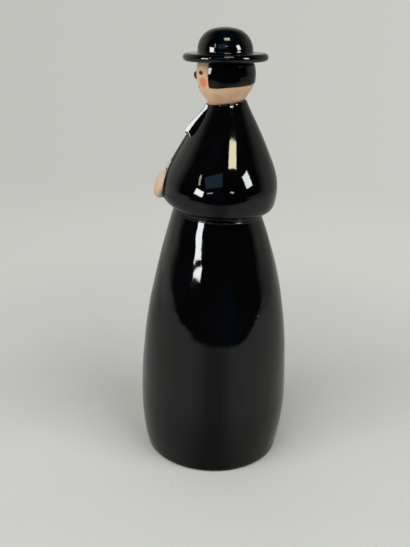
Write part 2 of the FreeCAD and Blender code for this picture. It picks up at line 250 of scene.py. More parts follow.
def specks(tree, place, cells, size, clouds, cut, most):
    """Dots in the cells of a pattern, kept only where a cloud is dense."""
    apart = node(tree, "ShaderNodeTexVoronoi", {"Vector": place, "Scale": cells}).outputs["Distance"]
    dense = spread(tree, noise(tree, place, clouds, 1), *cut, 0.0, most)
    return product(tree, spread(tree, apart, *size, 1.0, 0.0), dense)


def ramp(tree, factor, stops):
    made = node(tree, "ShaderNodeValToRGB", {"Fac": factor})
    elements = made.color_ramp.elements
    while len(elements) < len(stops):
        elements.new(0.5)
    for element, (at, colour) in zip(elements, stops):
        element.position = at
        element.color = (*colour, 1)
    return made.outputs["Color"]


def two_tone(tree, cloud, tones):
    """A colour that runs from the first tone to the second with a cloud."""
    return ramp(tree, cloud, [(0.3, tones[0]), (0.7, tones[1])])


def mix(tree, factor, a, b):
    """A colour between a and b, each a plain colour or the output of a node."""
    a, b = [given if isinstance(given, bpy.types.NodeSocket) else (*given, 1) for given in (a, b)]
    return node(tree, "ShaderNodeMix", {0: factor, 6: a, 7: b}, data_type="RGBA").outputs[2]


def blend(tree, factor, a, b):
    """A number between a and b."""
    return node(tree, "ShaderNodeMix", {0: factor, 2: a, 3: b}).outputs[0]


def mix_shader(tree, factor, a, b):
    return node(tree, "ShaderNodeMixShader", {0: factor, 1: a, 2: b}).outputs[0]


def mask(tree, name):
    return node(tree, "ShaderNodeAttribute", attribute_name=name).outputs["Fac"]


def bump(tree, height, distance, normal=None):
    inputs = {"Height": height, "Distance": distance, "Strength": 1.0}
    if normal is not None:
        inputs["Normal"] = normal
    return node(tree, "ShaderNodeBump", inputs).outputs[0]


def axes(tree, place):
    """The X, Y and Z of a place or direction."""
    return node(tree, "ShaderNodeSeparateXYZ", {"Vector": place}).outputs


# Materials: pairs are the darker and the lighter tone of a paint
COAL = (0.0006, 0.0007, 0.0009), (0.0019, 0.0017, 0.0015)
WHITE = (0.85, 0.89, 0.92), (0.91, 0.94, 0.97)
FLESH = (0.74, 0.475, 0.275), (0.86, 0.575, 0.355)
HAND_FLESH = (0.60, 0.42, 0.285), (0.68, 0.49, 0.345)
DARK_RED = (0.085, 0.006, 0.010), (0.15, 0.012, 0.018)
CLAY = (0.45, 0.37, 0.28), (0.62, 0.53, 0.42)
BLUE_BLACK = (0.0010, 0.0028, 0.0062)
DUST = (0.30, 0.29, 0.27)
RED_SPECK = (0.04, 0.004, 0.006)
WARM_FLESH = (0.72, 0.36, 0.17)
PALE_FLESH = (0.80, 0.70, 0.58)
# Painted shade in the gap between the two hands
HAND_SHADE = (0.010, 0.006, 0.004)
BLUSH = (0.78, 0.185, 0.075)
LIP = (0.22, 0.030, 0.022)
EYE = (0.030, 0.017, 0.005)
# Painted shade along the hair's front edge under the brim
BRIM_SHADE = (0.70, 0.36, 0.24)
SEAT_SHADE = (0.13, 0.075, 0.04)
BARK = (0.28, (0.22, 0.115, 0.05)), (0.5, (0.46, 0.28, 0.135)), (0.75, (0.60, 0.41, 0.22))
BARK_PIT = (0.075, 0.034, 0.015)
CLAY_ROUGH = 0.85


def new_material(name):
    material = bpy.data.materials.new(name)
    material.use_nodes = True
    tree = material.node_tree
    tree.nodes.clear()
    shader = node(tree, "ShaderNodeBsdfPrincipled")
    node(tree, "ShaderNodeOutputMaterial", {"Surface": shader.outputs[0]})
    return material, tree, shader, node(tree, "ShaderNodeTexCoord").outputs["Object"]


def dress(tree, shader, colour, rough, normal, ior=1.5):
    """Link a surface's colour, roughness and normal to its shader."""
    for key, socket in (("Base Color", colour), ("Roughness", rough), ("Normal", normal)):
        tree.links.new(socket, shader.inputs[key])
    shader.inputs["IOR"].default_value = ior


def bare_clay(tree, place):
    return two_tone(tree, noise(tree, place, 900, 5, 0.7), CLAY)


def black_coat(tree, place):
    """Colour, roughness and normal of the black glaze, with faint blue streaks, dust, smudges and waves."""
    colour = two_tone(tree, noise(tree, place, 26), COAL)
    streaks = noise(tree, place, 1.0, 2, stretch=(85, 85, 10))
    colour = mix(tree, spread(tree, streaks, 0.5, 0.75, 0.0, 0.8), colour, BLUE_BLACK)
    colour = mix(tree, specks(tree, place, 150, (0.03, 0.06), 60, (0.62, 0.68), 0.5), colour, DUST)
    smudge = spread(tree, noise(tree, place, 17, 6, 0.65), 0.5, 0.8, 0.0, 0.07)
    rough = math_node(tree, "ADD", spread(tree, noise(tree, place, 110), 0.3, 0.7, 0.028, 0.055), smudge)
    normal = bump(tree, noise(tree, place, 95, 2), 0.00005)
    return colour, rough, bump(tree, noise(tree, place, 700, 2), 0.000008, normal)


def black_glaze():
    """Black glaze that ends in an uneven edge just above the bare clay of the foot ring."""
    material, tree, shader, place = new_material("black_glaze")
    colour, rough, normal = black_coat(tree, place)
    uneven = spread(tree, noise(tree, place, 300), 0.0, 1.0, -0.0002, 0.0002)
    bare = spread(tree, math_node(tree, "ADD", axes(tree, place)["Z"], uneven), 0.0004, 0.0006, 1.0, 0.0)
    colour = mix(tree, bare, colour, bare_clay(tree, place))
    dress(tree, shader, colour, blend(tree, bare, rough, CLAY_ROUGH), normal, ior=1.43)
    return material


def red_glaze():
    """A dark red glaze with uneven depth, pin specks and a slight orange peel."""
    material, tree, shader, place = new_material("red_glaze")
    colour = two_tone(tree, noise(tree, place, 150, 4, 0.6), DARK_RED)
    colour = mix(tree, specks(tree, place, 420, (0.05, 0.12), 240, (0.55, 0.66), 0.7), colour, RED_SPECK)
    rough = spread(tree, noise(tree, place, 260), 0.3, 0.7, 0.075, 0.13)
    normal = bump(tree, noise(tree, place, 170, 2), 0.00006)
    dress(tree, shader, colour, rough, bump(tree, noise(tree, place, 1100, 2), 0.000008, normal))
    return material


def hand_glaze():
    material, tree, shader, place = new_material("hand_glaze")
    colour = two_tone(tree, noise(tree, place, 140, 4), HAND_FLESH)
    colour = mix(tree, spread(tree, noise(tree, place, 90, 2), 0.45, 0.75, 0.0, 0.3), colour, WARM_FLESH)
    colour = mix(tree, mask(tree, "pale"), colour, PALE_FLESH)
    # Painted shade in the gap between the two hands
    colour = mix(tree, mask(tree, "hand_shade"), colour, HAND_SHADE)
    rough = spread(tree, noise(tree, place, 300), 0.3, 0.7, 0.16, 0.26)
    dress(tree, shader, colour, rough, bump(tree, noise(tree, place, 420), 0.00003), ior=1.36)
    return material


def bib_glaze():
    """White paint with a black strip along the parting of the two flaps."""
    material, tree, shader, place = new_material("bib_glaze")
    black, black_rough, normal = black_coat(tree, place)
    uneven = spread(tree, noise(tree, place, 260, 2), 0.0, 1.0, -0.00035, 0.00035)
    side = math_node(tree, "ADD", math_node(tree, "ABSOLUTE", axes(tree, place)["X"]), uneven)
    paint = spread(tree, side, 0.00185, 0.00205, 0.0, 1.0)
    colour = mix(tree, paint, black, two_tone(tree, noise(tree, place, 190, 4, 0.6), WHITE))
    dress(tree, shader, colour, blend(tree, paint, black_rough, 0.16), normal, ior=1.43)
    return material


def head_glaze():
    """Flesh with painted features and painted shade along the hair's front edge under the brim, bare clay on
    the stem, and black glaze where the hair is.
    """
    material, tree, shader, place = new_material("head_glaze")
    colour = two_tone(tree, noise(tree, place, 130, 4), FLESH)
    brushed = product(tree, mask(tree, "blush"), spread(tree, noise(tree, place, 500), 0.2, 0.7, 0.75, 1.0))
    colour = mix(tree, brushed, colour, BLUSH)
    # The hair-edge mask is a reddish painted shade under the brim
    for name, paint in (("lip", LIP), ("eye", EYE), ("brim_shade", BRIM_SHADE), ("seat", SEAT_SHADE)):
        colour = mix(tree, mask(tree, name), colour, paint)
    bare, hair = mask(tree, "bare"), mask(tree, "hair")
    colour = mix(tree, bare, colour, bare_clay(tree, place))
    rough = spread(tree, noise(tree, place, 260), 0.3, 0.7, 0.15, 0.24)
    rough = blend(tree, bare, rough, CLAY_ROUGH)
    black, black_rough, normal = black_coat(tree, place)
    colour = mix(tree, hair, colour, black)
    dress(tree, shader, colour, blend(tree, hair, rough, black_rough), normal, ior=1.38)
    return material


def cork_bark():
    material, tree, shader, place = new_material("cork_bark")
    grain = noise(tree, place, 520, 6, 0.68)
    pits = spread(tree, noise(tree, place, 1.0, 3, 0.6, stretch=(420, 420, 150)), 0.60, 0.68, 0.0, 0.9)
    colour = mix(tree, pits, ramp(tree, grain, BARK), BARK_PIT)
    rough = spread(tree, grain, 0.3, 0.7, 0.72, 0.92)
    dress(tree, shader, colour, rough, bump(tree, math_node(tree, "SUBTRACT", grain, pits), 0.00035))
    return material


BLACK_GLAZE = black_glaze()
RED_GLAZE = red_glaze()
HAND_GLAZE = hand_glaze()
BIB_GLAZE = bib_glaze()
HEAD_GLAZE = head_glaze()
CORK_BARK = cork_bark()


# Cassock: the pear-shaped lower shell on its foot ring
def lean(z):
    """How far the figure leans to the front round its waist."""
    return -0.8 * band(115, 163, WAIST, 182, z)


def waist_rise(y):
    """How far the joint at the waist stands above its level, more to the front."""
    return 0.5 - 0.033 * y + 2.2 * smooth(14, 32, -y)


def build_cassock():
    angles = even_angles(288)
    recess, recess_radius = 2, 34
    foot_round, floor, floor_round = 2.4, 8, 8
    inner_foot, inner_belly = FOOT_RADIUS - WALL, BELLY_RADIUS - WALL
    profile = outline([
        (0, recess), (recess_radius - 0.6, recess), (recess_radius, recess - 0.6),
        (recess_radius, 0.5, 0.5, -1), (recess_radius + 0.5, 0),
        (FOOT_RADIUS - foot_round, 0, foot_round, 1),
        (FOOT_RADIUS, foot_round, bow(BELLY - foot_round, BELLY_RADIUS - FOOT_RADIUS), 1),
        (BELLY_RADIUS, BELLY, bow(WAIST - BELLY, BELLY_RADIUS - WAIST_RADIUS), 1),
        (WAIST_RADIUS, WAIST), (SPIGOT_RADIUS, WAIST), (SPIGOT_RADIUS, SPIGOT_TOP),
        (THROAT_RADIUS, SPIGOT_TOP),
        (THROAT_RADIUS, WAIST, bow(WAIST - BELLY, inner_belly - THROAT_RADIUS), -1),
        (inner_belly, BELLY, bow(BELLY - floor - floor_round, inner_belly - inner_foot), -1),
        (inner_foot, floor + floor_round, floor_round, -1), (inner_foot - floor_round, floor), (0, floor),
    ], 1.3)
    rows = turned_rows(profile, angles)
    up = profile[:, 1, None]
    top = int(np.argmax(profile[:, 1] >= WAIST - 1e-6))
    outside = (np.arange(len(profile)) <= top)[:, None] * band(2.5, 9, 150, 156, up)
    broad = 0.16 * ripple(rows, 46, seed=3)
    fine = 0.042 * ripple(rows * (1, 1, 0.75), 13, seed=4) * (1 + 0.45 * smooth(90, 130, up))
    finest = 0.031 * ripple(rows * (1, 1, 0.7), 6.5, seed=5) * smooth(110, 128, up)
    belly = 0.12 * (1 - smooth(60, 110, up))
    rows += outward(angles) * ((broad + fine + finest - belly) * outside)[..., None]
    shell = rows[:top + 1]
    shell[..., 2] += waist_rise(shell[..., 1]) * smooth(135, WAIST, shell[..., 2])
    rows[..., 1] += lean(rows[..., 2])
    return build_shell("cassock_shell", rows, "bottle", ["cassock"], BLACK_GLAZE)


# Cape: the upper shell, with a front opening, a rolled hem and a thin collar round the head's cup
HEAD_ARC = bow(18, 7.2)
HEAD_GAP = 0.3


def cape_radius(z):
    at = [HEM_TOP, 168, 172, 176, 180, 184, 188, 192, 196, 204, 212, 220, 226.5]
    across = [33.84, 34.44, 34.75, 34.55, 33.88, 32.7, 31.03, 28.98, 26.87, 22.6, 18.05, 13.55, 10.1]
    return spline(at, across, np.maximum(z, HEM_TOP))


def cape_centre(z):
    """How far the middle of the cape lies behind the foot's centre."""
    at = [150, 172, 180, 188, 196, 204, 212, 220, 226.5]
    return spline(at, [0, 0.02, 0.14, 0.67, 1.43, 2.06, 2.5, 2.79, 3.0], np.maximum(z, 172))


def opening_edge(z):
    """Half the width of the cape's front opening."""
    at = [162, 163.5, 165, 169, 174, 180, 184, 190, 198, 206, 212]
    half = [0, 4.5, 7.6, 10.3, 11.3, 10.6, 9.0, 6.8, 4.4, 2.7, 1.8]
    return spline(at, half, np.clip(z, at[0], at[-1]))


def opening_relief(points):
    """How far the cape's outside stands out of its plain form round the front opening."""
    z = points[..., 2]
    apart = np.abs(points[..., 0]) - opening_edge(z)
    here = band(162.2, 164.5, 208, 213, z) * (points[..., 1] < 0)
    depth = 1.2 + 0.7 * (1 - smooth(178, 190, z))
    roll = 0.65 + 0.45 * (1 - smooth(172, 192, z))
    inside = 1 - smooth(-0.55, 0.55, apart)
    return here * (roll * np.exp(-((apart - 0.9) / 1.3) ** 2) - depth * inside)


def cape_side(angles, levels):
    """Rows of the cape's outside between its hem and its collar."""
    side = turned_rows(np.stack([cape_radius(levels), levels], -1), angles, cape_centre(levels)[:, None])
    swell = 0.05 * ripple(side, 34, seed=11) + 0.014 * ripple(side, 13, seed=12)
    swell *= band(164, 169, 212, 219, levels)[:, None]
    return side + outward(angles) * (swell + opening_relief(side))[..., None]


def cape_top(angles, low):
    """Rows from the collar's slanted bead down through the head's cup, the neck's bore and its cone."""
    slope = math.tan(math.radians(6.9))
    bead = [(0.25, 0.0), (0.5, 0.0), (0.72, 0.02), (0.8, 0.07), (0.87, 0.14), (0.92, 0.16), (0.97, 0.06)]
    rows = []
    for share, out in bead + [(1.0, -0.14)]:
        z = np.full(len(angles), low + 4.0)
        # The collar's height follows from where its edge lies, and the edge from its height
        for _ in range(12):
            y = cape_centre(z) - cape_radius(z) * np.cos(angles)
            z = low + (COLLAR + (y - NECK_AXIS) * slope - low) * share
        across = cape_radius(z) + out
        rows.append(np.stack([across * np.sin(angles), cape_centre(z) - across * np.cos(angles), z], -1))
    edge = rows[-1] - (0, NECK_AXIS, 0)
    lip = np.hypot(edge[:, 0], edge[:, 1])

    def ring(across, z):
        share = across / lip
        return np.stack([edge[:, 0] * share, NECK_AXIS + edge[:, 1] * share, z + 0 * lip], -1)

    for share in (0.0, 0.35, 0.7, 1.0):
        z = edge[:, 2] * (1 - share) + CUP_FLOOR * share
        cup = HEAD_RADIUS - HEAD_ARC + np.sqrt((HEAD_ARC + HEAD_GAP) ** 2 - (HEAD_MIDDLE - z) ** 2)
        rows.append(ring(np.minimum(lip - 0.25, cup), z))
    bore = 9.05
    neck = [(9.4, CUP_FLOOR), (bore, 221.4), (bore, 216), (bore, 211.7), (14.0, 206.7), (20.7, 187.5)]
    rows += [ring(across, z) for across, z in neck]
    return rows


def build_cape():
    angles = np.radians(np.concatenate([np.arange(-36, 36, 0.45), np.arange(36, 324, 1.6)]))
    socket = SPIGOT_RADIUS + 0.1
    joint = [(0, 0), (0.22, 0.3), (0.32, 0.65), (0.22, 1.0), (0, 1.3), (0, 2.75), (0.25, 3.2)]
    hem = [(WAIST_RADIUS + out, WAIST + up) for out, up in joint]
    hem += [(28.0, 160.35, 5.85, 1), (33.75, HEM_TOP)]
    within = [(24.7, 186), (29.6, 173), (THROAT_RADIUS, SPIGOT_TOP + 0.3), (socket, SPIGOT_TOP + 0.1),
              (socket, WAIST), (WAIST_RADIUS, WAIST)]
    hem_rows = turned_rows(outline(hem, 0.4), angles)
    levels = np.arange(165.4, 220.1, 0.85)
    top_rows = cape_top(angles, levels[-1])
    rows = np.concatenate([
        hem_rows, cape_side(angles, levels), top_rows, turned_rows(outline(within, 4), angles)])
    outer = list(range(len(hem_rows) + len(levels))) + [-1]
    rows[outer, :, 2] += waist_rise(rows[outer, :, 1]) * (1 - smooth(SPIGOT_TOP, 174, rows[outer, :, 2]))
    rows[..., 1] += lean(rows[..., 2])
    return build_shell("cape_shell", rows, "bottle", ["cape"], BLACK_GLAZE)


# Bib: two flaps side by side, with white faces and black sides
FLAP_EDGE = 9.8
FLAP_SIDE_POINTS = 24


def eased_loop(corners):
    """Points round a closed outline, the same number on each side, with its corners eased."""
    corners = np.array(corners)
    share = np.arange(FLAP_SIDE_POINTS)[:, None] / FLAP_SIDE_POINTS
    sides = zip(corners, np.roll(corners, -1, axis=0))
    points = np.concatenate([here * (1 - share) + after * share for here, after in sides])
    for _ in range(3):
        points = (np.roll(points, 1, axis=0) + 2 * points + np.roll(points, -1, axis=0)) / 4
    return points


def flap_rise(z):
    """How far a flap's outer edge stands out of the chest."""
    at = [204.3, 206.6, 209, 212, 215, 217.5, 220, 222.7]
    return spline(at, [2.8, 3.0, 3.25, 3.2, 2.85, 2.35, 1.55, 0.35], z)


def lift_flap(points, turn, share, drop=0.0):
    """Set (x, z) points of a flap on the chest at a share of 0, or on the flap's face less a drop at 1."""
    x, z = points[:, 0], points[:, 1]
    chest = cape_centre(z) - np.sqrt(cape_radius(z) ** 2 - x ** 2)
    edge = cape_centre(z) - np.sqrt((cape_radius(z) + flap_rise(z) - drop) ** 2 - FLAP_EDGE ** 2)
    bulge = np.interp(z, [206.6, 210, 214, 218, 222], [2.4, 2.1, 1.75, 1.45, 1.2])
    face = np.minimum(edge - bulge * (1 - (x / FLAP_EDGE) ** 2), chest - 0.3)
    place = np.stack([turn * x, chest * (1 - share) + face * share, z], -1)
    place[:, 1] += 0.04 * ripple(place, 6, seed=21)
    return place


def build_flap(name, turn, cad_node):
    foot = eased_loop([(0.45, 222.7), (0.45, 204.3), (9.8, 204.4), (9.9, 209.0), (8.9, 217.2), (6.9, 222.4)])
    face = eased_loop([(0.55, 222.4), (0.55, 206.6), (9.7, 207.6), (9.8, 211.5), (8.6, 217.6), (5.5, 222.2)])
    along = np.roll(face, -1, axis=0) - np.roll(face, 1, axis=0)
    inward = np.stack([-along[:, 1], along[:, 0]], -1) / np.linalg.norm(along, axis=1)[:, None]
    seat = lift_flap(foot, turn, 0.0)
    sunk = seat + (0, 0.6, 0)
    rings = [np.broadcast_to(sunk.mean(0), sunk.shape), sunk, seat]
    for share in (0.45, 0.92):
        rings.append(lift_flap(foot * (1 - share) + face * share, turn, share))
    first_white = len(rings) - 1
    for inset, drop in ((0.03, 0.12), (0.12, 0.03), (0.3, 0.0)):
        rings.append(lift_flap(face + inward * inset, turn, 1.0, drop))
    start, middle = face + inward * 0.3, face.mean(0)
    for share in (0.12, 0.3, 0.5, 0.7, 0.87, 1.0):
        rings.append(lift_flap(start * (1 - share) + middle * share, turn, 1.0))
    mesh = grid_mesh(name, rings)
    # The face is white, and a thin white line down the side at the outer bottom corner is a painted highlight
    corner = 2 * FLAP_SIDE_POINTS
    for polygon in mesh.polygons:
        ring, place = divmod(polygon.index, len(face))
        polygon.material_index = int(ring >= first_white or (ring > 1 and place in (corner - 1, corner)))
    return finish_mesh(name, mesh, "bottle", [cad_node], [BLACK_GLAZE, BIB_GLAZE], sharp=50)


# Hands: rounded forms joined into one skin, in a frame that is tilted back
HAND_OUT, HAND_UP, HAND_TILT = 34.7, 174.5, math.radians(22)


def hand_skin(name, eggs):
    """One skin over egg forms given as (along, out, up, long, deep, tall, yaw, pitch)."""
    tilt = Matrix.Rotation(-HAND_TILT, 3, "X")
    work = bmesh.new()
    for along, out, up, long, deep, tall, yaw, pitch in eggs:
        place = Vector((along, -HAND_OUT, HAND_UP)) + tilt @ Vector((0, -out, up))
        turn = Matrix.Rotation(math.radians(yaw), 3, "Z") @ Matrix.Rotation(math.radians(pitch), 3, "Y")
        matrix = Matrix.Translation(place) @ (tilt @ turn).to_4x4() @ Matrix.Diagonal((long, deep, tall, 1))
        egg = bmesh.ops.create_uvsphere(work, u_segments=40, v_segments=24, radius=1.0)["verts"]
        bmesh.ops.transform(work, matrix=matrix, verts=egg)
    raw = bpy.data.meshes.new(name + "_forms")
    work.to_mesh(raw)
    work.free()
    raw.transform(Matrix.Scale(MM, 4))
    forms = bpy.data.objects.new(name + "_forms", raw)
    bpy.context.scene.collection.objects.link(forms)
    skin = forms.modifiers.new("skin", "REMESH")
    skin.mode, skin.voxel_size = "VOXEL", 0.34 * MM
    ease = forms.modifiers.new("ease", "SMOOTH")
    ease.factor, ease.iterations = 0.5, 5
    mesh = bpy.data.meshes.new_from_object(forms.evaluated_get(bpy.context.evaluated_depsgraph_get()))
    bpy.data.objects.remove(forms)
    return mesh


def build_hand(name, eggs, cad_node, reach, shade_above, shade_below):
    """A hand with pale ends past its reach beside the cape, and painted shade above and below two heights,
    where the hands meet.
    """
    mesh = hand_skin(name, eggs)
    points = np.zeros(len(mesh.vertices) * 3)
    mesh.vertices.foreach_get("co", points)
    x, y, z = points.reshape(-1, 3).T / MM
    apart = np.hypot(x, y - cape_centre(z)) - cape_radius(np.clip(z, 160, 226))
    high = (z - HAND_UP) * math.cos(HAND_TILT) + (y + HAND_OUT) * math.sin(HAND_TILT)
    add_masks(mesh, {
        "pale": (1 - smooth(0.2, 1.2, apart)) * smooth(reach - 2.5, reach, np.abs(x)),
        # Painted shade in the gap between the two hands
        "hand_shade": np.maximum(smooth(*shade_above, high), 1 - smooth(*shade_below, high)),
    })
    mesh.materials.clear()
    return finish_mesh(name, mesh, "bottle", [cad_node], [HAND_GLAZE], sharp=180)


# Head: a round shell with a stem, raised hair at the back and a painted face
FACE_RADIUS = 16.5


def nod(rows):
    """Lean the stopper's figure part a little to the front."""
    rows = np.array(rows, float)
    rows[..., 1] -= 0.027 * np.maximum(rows[..., 2] - SEAT - 0.5, 0)
    return rows


def head_profile():
    """The head's outline, with all its points on the outside and at corners, and fewer elsewhere."""
    stem, plug = 5.5, 12.4
    profile = outline([
        (0, 206.3), (stem - 0.5, 206), (stem, 206.5), (stem, SEAT), (9.3, SEAT),
        (9.7, SEAT + 0.1, HEAD_ARC, 1),
        (HEAD_RADIUS, HEAD_MIDDLE, bow(BRIM - HEAD_MIDDLE, 1.2), 1), (HEAD_RADIUS - 1.2, BRIM),
        (plug, BRIM), (plug, 243.4), (0, 243.2),
    ], 0.3)
    outside = (profile[:, 1] > SEAT - 0.1) & (profile[:, 0] > 9.2)
    sixth = np.arange(len(profile)) % 6 == 0
    corners = np.r_[True, np.abs(np.diff(profile, 2, axis=0)).max(1) > 0.05, True]
    return profile[outside | sixth | corners]


def hair_depth(aside, up):
    """How far a place lies behind the hair's front edge, and inside the hair's round-cornered outline."""
    low = np.interp(np.degrees(aside), [50, 75, 98, 157, 180], [232.3, 232.5, 233.3, 234.4, 234.5])
    behind, above = (aside - math.radians(55)) * HEAD_RADIUS, up - low
    corner = 1.3
    rounded = corner - np.hypot(np.maximum(corner - behind, 0), np.maximum(corner - above, 0))
    return behind, np.where((behind < corner) & (above < corner), rounded, np.minimum(behind, above))


def build_head():
    angles = even_angles(420)
    profile = head_profile()
    rows = turned_rows(profile, angles, NECK_AXIS)
    across, up = profile[:, 0, None], profile[:, 1, None]
    skin = (up > SEAT + 0.3) & (across > 9.6)
    outer = skin & (up < BRIM - 0.05)
    aside = np.minimum(angles, 2 * math.pi - angles)[None, :]
    degrees = np.degrees(aside)
    behind, inside = hair_depth(aside, up)
    hair = smooth(-0.14, 0.14, inside) * skin
    rise = (0.7 + 0.55 * np.exp(-np.maximum(behind, 0) / 4)) * smooth(-0.35, 0.9, inside) ** 0.8
    rise = rise * outer * (1 - smooth(245.2, BRIM, up))
    # The head is narrower at its nape, and a little all round its foot, so that it turns clear of the collar
    pinch = 1.1 * band(222.8, 224.6, 227, 233, up) * smooth(1.0, 2.2, aside)
    pinch = np.maximum(pinch, 0.72 * band(222.3, 223.6, 225.8, 230.5, up)) * outer
    swell = (0.06 * ripple(rows, 16, seed=31) - 0.06) * outer * smooth(222.5, 225.5, up)
    rows = nod(rows + outward(angles) * (swell + rise - pinch)[..., None])

    def spot(middle, height, wide, tall, soft):
        side = (aside - math.radians(middle)) * FACE_RADIUS
        return (1 - smooth(1 - soft, 1 + soft, np.hypot(side / wide, (up - height) / tall))) * outer

    smile_end = 21
    smile = 231.75 + 0.6 * (degrees / smile_end) ** 2
    line = (1 - smooth(0.16, 0.34, np.abs(up - smile))) * (1 - smooth(19.5, 21.5, degrees)) * outer
    # Painted shade just outside the hair's front edge, stronger towards the brim
    brim_shade = 0.55 * np.exp(-((inside + 0.5) / 0.5) ** 2) * (1 - hair) * outer * (behind > -1.5)
    bare = (up < SEAT + 0.05) | (across < 9.3)
    masks = {
        "hair": hair,
        "blush": 0.9 * spot(39, 235.2, 3.3, 2.7, 0.5),
        "eye": spot(34.9, 240.4, 2.05, 1.2, 0.14),
        "lip": np.maximum(0.9 * line, spot(smile_end, 232.3, 0.55, 0.5, 0.3)),
        "brim_shade": brim_shade * smooth(236, 244, up),
        "seat": (1 - smooth(222.2, 223.3, up)) * (up > SEAT + 0.05) * (across > 9.3),
        "bare": bare.astype(float),
    }
    masks = {key: np.broadcast_to(values, rows.shape[:2]) for key, values in masks.items()}
    return build_shell("head_and_hair", rows, "stopper", ["head"], HEAD_GLAZE, masks)


# Nose: a small drop set on the face
def build_nose():
    angles = even_angles(48)
    wide, deep, tall = 2.15, 1.75, 2.3
    front, height = -14.9, 238.35
    rows = []
    for polar in np.radians(np.arange(0, 181, 6)):
        narrow = math.sin(polar)
        ring = np.stack([
            wide * narrow * np.cos(angles),
            front - deep * narrow * np.sin(angles) * (1 - 0.12 * math.cos(polar)),
            height - tall * math.cos(polar) + 0 * angles,
        ], -1)
        ring[:, 1] += 0.05 * ripple(ring, 3, seed=41) * narrow
        rows.append(ring)
    return build_shell("nose_drop", nod(rows), "stopper", ["nose"], RED_GLAZE)


# Hat: a round brim and a domed crown
def build_hat():
    angles = even_angles(288)
    brim_radius, brim_round, crown_radius, crown_fillet = 24.5, 2.2, 15.9, 1.2
    brim_top = BRIM + 2 * brim_round
    profile = outline([
        (0, 243.9), (11.6, 243.8), (12.0, BRIM - 0.1), (20.5, BRIM),
        (brim_radius - brim_round, BRIM, brim_round, 1), (brim_radius, BRIM + brim_round, brim_round, 1),
        (brim_radius - brim_round, brim_top), (crown_radius + crown_fillet, brim_top, crown_fillet, -1),
        (crown_radius, brim_top + crown_fillet, 12.1, 1), (6.98, 264.08, 27.0, 1), (0, TOP),
    ], 0.55)
    rows = turned_rows(profile, angles, NECK_AXIS)
    swell = (0.07 * ripple(rows, 19, seed=51) - 0.03) * smooth(10, 16, profile[:, 0, None])
    rows += outward(angles) * swell[..., None]
    pivot = np.array([0, NECK_AXIS, BRIM])
    tilt = np.array(Matrix.Rotation(math.radians(1.3), 3, "X"))
    rows = nod((rows - pivot) @ tilt.T + pivot)
    rows[..., 2] -= max(0.0, rows[..., 2].max() - TOP)
    return build_shell("hat_shell", rows, "stopper", ["hat"], BLACK_GLAZE)


# Cork: a sleeve with a closed end
def build_cork():
    angles = even_angles(120)
    radius, bore, cork_top = 9.0, 5.6, 221.95
    profile = outline([
        (0, 203.5), (7.7, 203.5, 0.6, 1), (8.1, 203.7), (8.9, 204.6, 0.6, 1), (radius, 205.0),
        (radius, 221.6), (8.7, cork_top), (bore, cork_top), (bore, 207.0), (0, 206.9),
    ], 0.6)
    rows = turned_rows(profile, angles, NECK_AXIS)
    wear = 0.07 * ripple(rows * (1, 1, 0.5), 4, seed=61) - 0.12
    wear *= (profile[:, 0, None] > 6) & (profile[:, 1, None] < 221)
    rows += outward(angles) * np.minimum(wear, 0)[..., None]
    return build_shell("cork_sleeve", rows, "cork", ["stopper_cork"], CORK_BARK)


CASSOCK = build_cassock()
CAPE = build_cape()
build_flap("bib_right", -1, "right_band")
build_flap("bib_left", 1, "left_band")
# The palm, four fingers and the thumb
build_hand("hand_left", [
    (1.8, -0.55, 0.7, 10.0, 5.2, 9.0, 0, 0),
    (-4.0, 0.6, 4.4, 8.0, 2.6, 2.3, 8, -6),
    (-4.6, 1.55, 0.9, 8.6, 2.7, 2.4, 8, -2),
    (-4.4, 1.55, -2.6, 8.2, 2.7, 2.4, 8, 2),
    (-3.6, 0.7, -5.3, 7.2, 2.4, 1.9, 8, 6),
    (3.4, 0.5, 4.9, 5.2, 2.9, 2.6, -10, 12),
], "left_hand", reach=9.0, shade_above=(9.2, 9.8), shade_below=(-12.0, -11.0))
# The back of the hand and its first finger, the parts that show above the left hand
build_hand("hand_right", [
    (-4.8, -2.0, 10.0, 7.8, 4.0, 3.8, 0, 8),
    (1.2, -1.1, 11.8, 7.2, 2.3, 1.9, -6, 4),
], "right_hand", reach=6.0, shade_above=(20.0, 21.0), shade_below=(9.6, 10.2))
HEAD = build_head()
build_nose()
HAT = build_hat()
build_cork()


# Floor: a pale table that runs into the backdrop, and that the glaze mirrors up to one straight edge
PALE = (0.555, 0.561, 0.527)
TABLE = (0.635, 0.640, 0.612), (0.660, 0.665, 0.637)
CRUMB = (0.36, 0.35, 0.32)
TABLE_SLANT = 0.17


def side_tone(tree, across, reach):
    """The backdrop's colour, with painted light that makes it a little lighter towards one side."""
    level = spread(tree, across, -reach, reach, 0.0, 1.0)
    return mix(tree, level, [0.955 * c for c in PALE], [1.06 * c for c in PALE])


def mirrored_table(tree, place, away):
    """The table as the glaze mirrors it: shaded to the camera's side, at the foot and past its edge."""
    x, y, _ = axes(tree, place)
    turn = math_node(tree, "ABSOLUTE", math_node(tree, "ADD", math_node(tree, "ARCTAN2", y, x), -0.02))
    past = math_node(tree, "ADD", x, math_node(tree, "MULTIPLY", y, TABLE_SLANT))
    level = product(
        tree,
        spread(tree, turn, 0.14, 0.5, 0.5, 1.0),
        spread(tree, away, 0.05, 0.13, 0.6, 1.0),
        spread(tree, past, 0.42, 0.54, 1.0, 0.015),
        spread(tree, x, -0.15, 0.1, 0.75, 1.0),
    )
    return node(tree, "ShaderNodeEmission", {"Color": (*PALE, 1), "Strength": level}).outputs[0]


